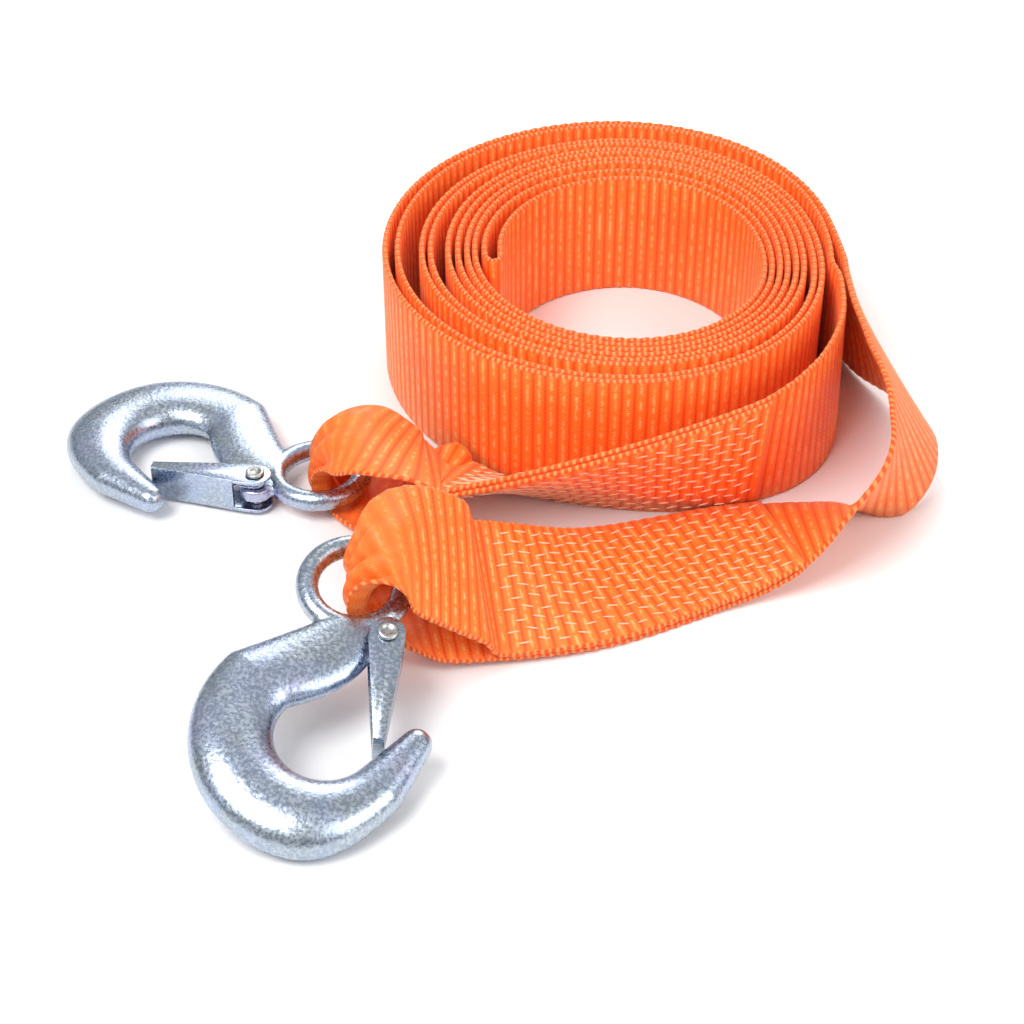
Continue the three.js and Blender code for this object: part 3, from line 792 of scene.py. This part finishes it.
def sweep(centres, sides, ups, widths, heights, segments, power=2.0):
    """A closed tube of rounded sections as (points, faces)."""
    turn = np.linspace(0, 2 * np.pi, segments, endpoint=False)
    flat = np.sign(np.cos(turn)) * np.abs(np.cos(turn)) ** (2 / power)
    tall = np.sign(np.sin(turn)) * np.abs(np.sin(turn)) ** (2 / power)
    rings = (centres[:, None] + sides[:, None] * (widths[:, None] * flat)[..., None]
             + ups[:, None] * (heights[:, None] * tall)[..., None])
    faces = []
    for i in range(len(centres) - 1):
        for j in range(segments):
            k = (j + 1) % segments
            a, b = i * segments, (i + 1) * segments
            faces.append((a + j, a + k, b + k, b + j))
    faces.append(tuple(range(segments)))
    last = (len(centres) - 1) * segments
    faces.append(tuple(range(last, last + segments))[::-1])
    return rings.reshape(-1, 3), faces


def join_forms(name, forms):
    """One mesh of several (points, faces), in millimetres."""
    points, faces, start = [], [], 0
    for form_points, form_faces in forms:
        points.append(form_points)
        faces += [tuple(i + start for i in face) for face in form_faces]
        start += len(form_points)
    mesh = bpy.data.meshes.new(name)
    mesh.from_pydata((np.vstack(points) * MM).tolist(), [], faces)
    outwards(mesh)
    return mesh


def bowl_section(degrees):
    angle = math.radians(degrees)
    out = (math.sin(angle), math.cos(angle))
    to_point = smooth_step(105, POINT_TURN, degrees)
    to_neck = smooth_step(150, NECK_TURN, degrees)
    width = mix(BODY[0], POINT_ROOT[0], to_point)
    thick = mix(mix(BODY[1], POINT_ROOT[1], to_point), SHANK_THICKNESS, to_neck)
    middle = BOWL_RADIUS + width / 2
    place = (BOWL_PLACE[0] + out[0] * middle, BOWL_PLACE[1] + out[1] * middle)
    return (*place, *out, width / 2, thick / 2)


def point_section(root, share):
    narrow = math.sqrt(max(1 - max(share - 0.8, 0) ** 2 * 24, 0.03))
    taper = min(share * 1.2, 1)
    full = mix(POINT_ROOT[0], POINT_END[0], taper)
    thick = mix(POINT_ROOT[1], POINT_END[1], taper) * narrow
    x, y, out_x, out_y, half, _ = root
    inner_x = x - out_x * half - out_y * POINT_LENGTH * share
    inner_y = y - out_y * half + out_x * POINT_LENGTH * share
    return (inner_x + out_x * full / 2, inner_y + out_y * full / 2,
            out_x, out_y, full * narrow / 2, thick / 2)


def neck_section(root, t):
    x, y, out_x, out_y, half, thick = root
    outer = np.array((x + out_x * half, y + out_y * half))
    inner = np.array((x - out_x * half, y - out_y * half))
    outer = mix(outer, np.array((EYE_RADIUS, NECK_OFFSETS[0])), t)
    knee = np.array((PIVOT[0] + NECK_FILLET, PIVOT[1] - LUG_RADIUS / 2))
    end = np.array((EYE_RADIUS, NECK_OFFSETS[1]))
    inner = (1 - t) ** 2 * inner + 2 * (1 - t) * t * knee + t * t * end
    across = outer - inner
    size = np.linalg.norm(across)
    middle = (outer + inner) / 2
    return (*middle, *(across / size), size / 2, mix(thick, EYE_BAR + 0.2, t))


def cylinder_form(radius, depth, place, segments=48):
    turn = np.linspace(0, 2 * np.pi, segments, endpoint=False)
    ring = np.column_stack((np.cos(turn) * radius + place[0],
                            np.sin(turn) * radius + place[1]))
    points = np.vstack([np.column_stack((ring, np.full(segments, place[2] + z)))
                        for z in (-depth / 2, depth / 2)])
    faces = [(j, (j + 1) % segments, segments + (j + 1) % segments, segments + j)
             for j in range(segments)]
    faces.append(tuple(range(segments))[::-1])
    faces.append(tuple(range(segments, 2 * segments)))
    return points, faces


def ring_form():
    """The eye as a closed ring."""
    around, section = 96, 28
    a = np.linspace(0, 2 * np.pi, around, endpoint=False)[:, None]
    b = np.linspace(0, 2 * np.pi, section, endpoint=False)[None]
    reach = EYE_RADIUS + EYE_BAR * np.cos(b)
    points = np.stack((reach * np.cos(a), reach * np.sin(a),
                       EYE_BAR * np.sin(b) + 0 * a), axis=-1).reshape(-1, 3)
    faces = []
    for i in range(around):
        for j in range(section):
            k, m = (i + 1) % around, (j + 1) % section
            faces.append((i * section + j, k * section + j, k * section + m,
                          i * section + m))
    return points, faces


def build_hook_mesh(settings):
    """The forged hook in its own frame, its parts blended into one skin."""
    bowl = [bowl_section(mix(POINT_TURN, NECK_TURN, i / 60)) for i in range(61)]
    tip = [point_section(bowl[0], share) for share in np.linspace(1, 0.04, 26)]
    neck = [neck_section(bowl[-1], t) for t in np.linspace(0.05, 1, 16)]
    rows = np.array([*tip, *bowl, *neck])
    count = len(rows)
    centres = np.column_stack((rows[:, :2], np.zeros(count)))
    sides = np.column_stack((rows[:, 2:4], np.zeros(count)))
    body = sweep(centres, sides, np.tile(UP, (count, 1)), rows[:, 4], rows[:, 5], 40, 2.15)
    lug = cylinder_form(LUG_RADIUS, LUG_THICKNESS, (*PIVOT, 0))
    blank = new_piece("hook_blank", join_forms("hook_blank", (body, ring_form(), lug)),
                      None)
    skin = blank.modifiers.new("skin", "REMESH")
    skin.mode = "VOXEL"
    skin.voxel_size = settings.skin
    ease = blank.modifiers.new("ease", "SMOOTH")
    ease.factor = 0.5
    ease.iterations = 5
    cutters = []
    side = (LUG_THICKNESS + BODY[1]) / 2
    for name, form in (
            ("above", cylinder_form(LATCH_HEAD + 0.6, BODY[1], (*PIVOT, side))),
            ("below", cylinder_form(LATCH_HEAD + 0.6, BODY[1], (*PIVOT, -side))),
            ("bore", cylinder_form(PIN_RADIUS + PIN_CLEARANCE, 40, (*PIVOT, 0)))):
        cutter = new_piece(name, join_forms(name, (form,)), None)
        cut = blank.modifiers.new(name, "BOOLEAN")
        cut.operation = "DIFFERENCE"
        cut.object = cutter
        cut.solver = "EXACT"
        cutters.append(cutter)
    mesh = settle(blank)
    for piece in (blank, *cutters):
        bpy.data.objects.remove(piece)
    crease_sharp(mesh, 50)
    return mesh


def crease_sharp(mesh, degrees):
    """Smooth shading, with edges sharper than the angle kept sharp."""
    form = bmesh.new()
    form.from_mesh(mesh)
    for face in form.faces:
        face.smooth = True
    for edge in form.edges:
        edge.smooth = edge.calc_face_angle(0.0) < math.radians(degrees)
    form.to_mesh(mesh)
    form.free()


def hook_matrix(letter):
    place, turn = HOOK_PLACES[letter]
    turn = Euler([math.radians(t) for t in turn], "XYZ").to_matrix().to_4x4()
    place = (np.array(place) + COIL_MIDDLE) * MM
    return Matrix.Translation(Vector(place)) @ turn


def pin_matrix(letter):
    lean = Matrix.Rotation(-math.radians(LATCH_LEAN), 4, "Z")
    return hook_matrix(letter) @ Matrix.Translation(Vector((*PIVOT, 0)) * MM) @ lean


def placed_copy(mesh, matrix, name):
    copy = mesh.copy()
    copy.name = name
    copy.transform(matrix)
    return copy


def lathe_form(profile, segments=48):
    turn = np.linspace(0, 2 * np.pi, segments, endpoint=False)
    rows = [np.column_stack((r * np.cos(turn), r * np.sin(turn), np.full(segments, z)))
            for r, z in profile]
    faces = []
    for i in range(len(profile) - 1):
        for j in range(segments):
            k = (j + 1) % segments
            faces.append((i * segments + j, i * segments + k,
                          (i + 1) * segments + k, (i + 1) * segments + j))
    faces.append(tuple(range(segments)))
    last = (len(profile) - 1) * segments
    faces.append(tuple(range(last, last + segments)))
    return np.vstack(rows), faces


def build_pin_mesh():
    """A rivet: domed head below, upset and dished end above."""
    reach = LATCH_INSIDE / 2 + LATCH_SHEET + PIN_CLEARANCE
    r = PIN_RADIUS
    profile = (
        (0.3, -reach - 1.0), (1.4, -reach - 0.96), (2.5, -reach - 0.75),
        (3.1, -reach - 0.4), (3.28, -reach - 0.08), (3.2, -reach), (r, -reach),
        (r, reach), (3.1, reach), (3.26, reach + 0.1), (3.2, reach + 0.6),
        (2.9, reach + 0.92), (2.4, reach + 1.0), (1.9, reach + 0.92),
        (1.5, reach + 0.55), (1.0, reach + 0.42), (0.3, reach + 0.4),
    )
    mesh = join_forms("pin", (lathe_form(profile),))
    crease_sharp(mesh, 60)
    return mesh


def build_spring_mesh():
    """Torsion spring: turns round the pin with a leg on the latch and the neck."""
    start = LUG_THICKNESS / 2 + SPRING_GAP + SPRING_WIRE / 2
    pitch = SPRING_WIRE + 0.12
    rows = [(SPRING_LATCH_LEG, SPRING_RADIUS - SPRING_WIRE, start),
            (SPRING_LATCH_LEG * 0.45, SPRING_RADIUS - 0.1, start)]
    for i in range(int(SPRING_TURNS * 12) + 1):
        angle = math.pi / 2 + i / 12 * 2 * math.pi
        rows.append((SPRING_RADIUS * math.cos(angle), SPRING_RADIUS * math.sin(angle),
                     start + i / 12 * pitch))
    rows.append((SPRING_NECK_LEG, -SPRING_RADIUS - SPRING_GAP,
                 start + SPRING_TURNS * pitch))
    line = spline_through(rows, 5)
    along = unit(np.gradient(line, axis=0))
    side = unit(np.cross(along, UP))
    ups = np.cross(side, along)
    half = np.full(len(line), SPRING_WIRE / 2)
    return join_forms("spring", (sweep(line, side, ups, half, half, 14),))


def pressed_copy(node, name, edge):
    """A CAD node's shape with its pressed edges rounded."""
    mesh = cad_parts[node].data.copy()
    form = bmesh.new()
    form.from_mesh(mesh)
    bmesh.ops.remove_doubles(form, verts=form.verts, dist=2e-6)
    bmesh.ops.dissolve_limit(
        form, angle_limit=math.radians(1.5), verts=form.verts, edges=form.edges)
    form.to_mesh(mesh)
    form.free()
    mesh.materials.clear()
    piece = new_piece(name, mesh, None)
    rounding = piece.modifiers.new("rounding", "BEVEL")
    rounding.width = edge
    rounding.segments = 3
    rounding.limit_method = "ANGLE"
    rounding.angle_limit = math.radians(40)
    mesh = settle(piece)
    crease_sharp(mesh, 40)
    return piece


class STRAP_OT_webbing(bpy.types.Operator):
    """Weave the rolled webbing with both gathered loops"""
    bl_idname = "strap.webbing"
    bl_label = "Webbing"

    def execute(self, context):
        settings = context.scene.strap_webbing
        mesh, length = build_webbing_mesh(settings)
        piece = new_piece("webbing_woven", mesh, None)
        run_tree(piece, rib_tree(), {
            "Rib height": settings.rib_height, "Groove share": 0.25,
            "Selvedge beat": settings.selvedge_beat,
            "Material": woven_material(settings)})
        piece["length"] = length
        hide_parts("webbing")
        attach(piece, "strap")
        return {"FINISHED"}


class STRAP_OT_stitching(bpy.types.Operator):
    """Sew both tails down with rows of stitches"""
    bl_idname = "strap.stitching"
    bl_label = "Stitching"

    def execute(self, context):
        settings = context.scene.strap_stitches
        webbing = context.scene.strap_webbing
        _, panels = webbing_route()
        face = (webbing.thickness + 2 * webbing.rib_height) / MM / 2
        step = (settings.length + settings.gap) / MM
        places, turns = [], []
        for rows, along, across, normal in panels:
            centres = np.array(rows)[:, :3]
            run = np.concatenate(
                ((0.0,), np.cumsum(np.linalg.norm(np.diff(centres, axis=0), axis=1))))
            for row in range(settings.rows):
                w = (row / (settings.rows - 1) - 0.5) * SEWN_WIDTH
                begin = SEWN_MARGINS[0] + (row % 2) * step / 2
                for n, s in enumerate(np.arange(begin, run[-1] - SEWN_MARGINS[1], step)):
                    c, t, a, m = (
                        np.array([np.interp(s, run, v[:, k]) for k in range(3)])
                        for v in (centres, along, across, normal))
                    t, a, m = unit(t), unit(a), unit(m)
                    zig = ZIGZAG * (-1) ** n
                    lay = unit(t + a * ZIGZAG_LEAN * (-1) ** n)
                    lowest = (settings.thread + settings.length * abs(lay[2])) / MM / 2
                    for sign, depth in ((1, SEWN_STEP + face), (-1, face)):
                        place = c + a * (w + zig) + m * sign * (depth + 0.05)
                        place[2] = max(place[2], lowest)
                        places.append(place)
                        up = m * sign
                        turn = Matrix((lay, np.cross(up, lay), up)).transposed()
                        turns.append(turn.to_euler("XYZ")[:])
        mesh = bpy.data.meshes.new("stitching")
        points = (np.array(places) + COIL_MIDDLE) * MM
        mesh.from_pydata(points.tolist(), [], [])
        add_attribute(mesh, "turn", "FLOAT_VECTOR", turns)
        piece = new_piece("stitching", mesh, None)
        run_tree(piece, stitch_tree(), {
            "Stitch length": settings.length, "Thread": settings.thread,
            "Material": thread_material(settings)})
        piece.data.shade_smooth()
        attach(piece, "strap")
        return {"FINISHED"}


class STRAP_OT_hooks(bpy.types.Operator):
    """Forge both hooks"""
    bl_idname = "strap.hooks"
    bl_label = "Hooks"

    def execute(self, context):
        settings = context.scene.strap_hardware
        material = zinc_material("zinc over forged grain", settings, 0.00022, 0.27)
        blank = build_hook_mesh(settings)
        for letter in "ab":
            mesh = placed_copy(blank, hook_matrix(letter), f"hook_{letter}_forged")
            piece = new_piece(mesh.name, mesh, material)
            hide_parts(f"hook_{letter}")
            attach(piece, f"hook_{letter}")
        return {"FINISHED"}


class STRAP_OT_latches(bpy.types.Operator):
    """Press both safety latches"""
    bl_idname = "strap.latches"
    bl_label = "Latches"

    def execute(self, context):
        settings = context.scene.strap_hardware
        material = zinc_material("zinc on pressed sheet", settings, 0.00004, 0.24)
        for letter in "ab":
            piece = pressed_copy(f"latch_{letter}", f"latch_{letter}_pressed", 0.0003)
            piece.data.materials.append(material)
            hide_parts(f"latch_{letter}")
            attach(piece, f"latch_{letter}")
        return {"FINISHED"}


class STRAP_OT_pins(bpy.types.Operator):
    """Rivet both latch pins and wind both springs"""
    bl_idname = "strap.pins"
    bl_label = "Pins and springs"

    def execute(self, context):
        settings = context.scene.strap_hardware
        rivet = zinc_material("zinc on the upset pin", settings, 0.00005, 0.32, 0.3)
        wire = zinc_material("spring wire", settings, 0.00003, 0.28)
        for kind, blank, material in (
                ("pin", build_pin_mesh(), rivet), ("spring", build_spring_mesh(), wire)):
            for letter in "ab":
                name = f"{kind}_{letter}_made"
                mesh = placed_copy(blank, pin_matrix(letter), name)
                piece = new_piece(name, mesh, material)
                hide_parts(f"{kind}_{letter}")
                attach(piece, f"hook_{letter}")
        return {"FINISHED"}


class STRAP_OT_studio(bpy.types.Operator):
    """Lay the floor and set the lights and the camera"""
    bl_idname = "strap.studio"
    bl_label = "Studio"

    def execute(self, context):
        settings = context.scene.strap_studio
        scene = context.scene
        lay_floor(settings)
        for name, place, aim, size, share in (
                ("key", (-0.55, -0.55, 1.15), (0, 0, 0), 0.7, 1.0),
                ("fill", (1.0, -0.7, 0.8), (0, 0, 0.02), 0.9, 0.55),
                ("back", (0.15, 1.1, 0.9), (0, 0, 0.02), 0.8, 0.5)):
            add_light(name, place, aim, size, settings.key_power * share)
        world = bpy.data.worlds.new("studio")
        world.use_nodes = True
        sky = world.node_tree.nodes["Background"]
        sky.inputs["Strength"].default_value = 0.58
        made = Tree(world.node_tree)
        height = made.add("ShaderNodeSeparateXYZ", {
            "Vector": made.add("ShaderNodeTexCoord").outputs["Generated"]}).outputs["Z"]
        shade = made.blend(made.smooth(height, -0.1, 0.75), (0.42, 0.45, 0.5, 1),
                           (1.0, 1.0, 1.0, 1))
        world.node_tree.links.new(shade, sky.inputs["Color"])
        scene.world = world
        camera = bpy.data.cameras.new("camera")
        camera.sensor_width = 36.0
        camera.lens = CAMERA_LENS
        camera.clip_start = 0.01
        holder = bpy.data.objects.new("camera", camera)
        holder.location = Vector(np.array(CAMERA_PLACE) + COIL_MIDDLE) * MM
        holder.rotation_euler = (math.radians(CAMERA_TILT), 0, 0)
        scene.collection.objects.link(holder)
        scene.camera = holder
        scene.view_settings.view_transform = "Standard"
        return {"FINISHED"}


def lay_floor(settings):
    material, made = new_material("plain floor")
    place = made.add("ShaderNodeTexCoord").outputs["Object"]
    grain = made.add("ShaderNodeTexNoise", {
        "Vector": place, "Scale": 60.0, "Detail": 2.0}).outputs["Fac"]
    colour = made.blend(made.math("MULTIPLY", grain, 0.03),
                        (*settings.floor_colour, 1), (0.8, 0.8, 0.82, 1))
    shader = made.add("ShaderNodeBsdfPrincipled", {"Base Color": colour})
    shader.inputs["Roughness"].default_value = 0.7
    finish_material(made, shader.outputs[0])
    mesh = bpy.data.meshes.new("floor")
    reach = 4.0
    mesh.from_pydata([(-reach, -reach, 0), (reach, -reach, 0), (reach, reach, 0),
                      (-reach, reach, 0)], [], [(0, 1, 2, 3)])
    mesh.materials.append(material)
    floor = bpy.data.objects.new("floor", mesh)
    bpy.context.scene.collection.objects.link(floor)


def add_light(name, place, aim, size, power):
    lamp = bpy.data.lights.new(name, "AREA")
    lamp.size = size
    lamp.energy = power
    holder = bpy.data.objects.new(name, lamp)
    holder.location = place
    direction = Vector(aim) - Vector(place)
    holder.rotation_euler = direction.to_track_quat("-Z", "Y").to_euler()
    bpy.context.scene.collection.objects.link(holder)


class STRAP_PT_panel(bpy.types.Panel):
    """Lists the strap's settings and its making"""
    bl_label = "Cargo Strap"
    bl_idname = "STRAP_PT_panel"
    bl_space_type = "VIEW_3D"
    bl_region_type = "UI"
    bl_category = "Cargo Strap"

    def draw(self, context):
        for group in GROUPS:
            box = self.layout.box()
            settings = getattr(context.scene, group)
            for name in settings.bl_rna.properties.keys():
                if name not in ("rna_type", "name"):
                    box.prop(settings, name)
        for operator in OPERATORS:
            self.layout.operator(operator.bl_idname)


GROUPS = {
    "strap_webbing": WebbingSettings,
    "strap_stitches": StitchSettings,
    "strap_hardware": HardwareSettings,
    "strap_studio": StudioSettings,
}
OPERATORS = (STRAP_OT_studio, STRAP_OT_webbing, STRAP_OT_hooks, STRAP_OT_latches,
             STRAP_OT_pins, STRAP_OT_stitching)
CLASSES = (*GROUPS.values(), *OPERATORS, STRAP_PT_panel)


def register():
    for item in CLASSES:
        bpy.utils.register_class(item)
    for name, group in GROUPS.items():
        setattr(bpy.types.Scene, name, bpy.props.PointerProperty(type=group))


def unregister():
    for name in GROUPS:
        delattr(bpy.types.Scene, name)
    for item in reversed(CLASSES):
        bpy.utils.unregister_class(item)


def main():
    register()
    bpy.ops.strap.studio()
    bpy.ops.strap.webbing()
    bpy.ops.strap.hooks()
    bpy.ops.strap.latches()
    bpy.ops.strap.pins()
    bpy.ops.strap.stitching()
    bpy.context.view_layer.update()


if __name__ == "__main__":
    main()
